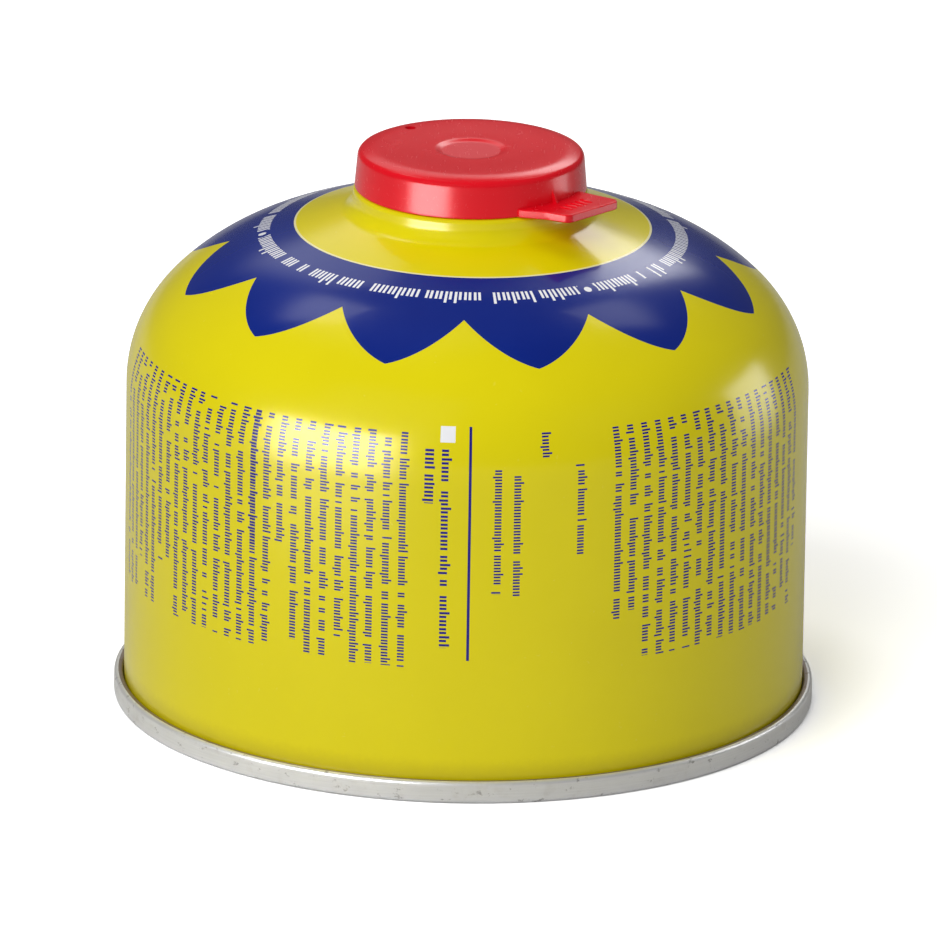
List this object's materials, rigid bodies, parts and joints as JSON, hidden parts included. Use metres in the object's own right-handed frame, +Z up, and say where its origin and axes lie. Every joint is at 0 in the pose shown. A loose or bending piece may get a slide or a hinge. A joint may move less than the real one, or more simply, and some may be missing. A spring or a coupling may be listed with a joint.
{
  "type": "screw valve fuel canister",
  "caption": "Squat domed steel fuel canister with a seamed foot ring, a threaded valve collar in a recessed cup, and a push-fit plastic cap with a pull tab.",
  "frame": {"origin": "centre of the foot ring on the surface that the canister stands on", "axes": "+Z up along the canister's axis, -Y towards the front as pictured, +X to its right"},
  "size_m": [0.11, 0.11, 0.0894],
  "materials": {
    "yellow_paint": "gloss",
    "tinplate": "satin",
    "black_rubber": "matte",
    "pale_acetal": "satin",
    "spring_steel": "bright",
    "red_plastic": "satin gloss"
  },
  "bodies": {
    "can": {"can_body": "yellow_paint", "base_end": "tinplate", "valve_cup": "tinplate", "cup_gasket": "black_rubber", "stem_seal": "black_rubber", "valve_housing": "pale_acetal", "valve_spring": "spring_steel"},
    "stem": {"valve_stem": "pale_acetal"},
    "cap": {"cap": "red_plastic"}
  },
  "joints": [
    {"name": "stem_press", "type": "slide", "parent": "can", "child": "stem", "axis": [0, 0, -1], "range_m": [0, 0.0018], "stiffness_N_per_m": 1200, "springref_m": -0.0015, "deforming": ["valve_spring"]},
    {"name": "cap_lift", "type": "slide", "parent": "can", "child": "cap", "axis": [0, 0, 1], "range_m": [0, 0.03]}
  ]
}
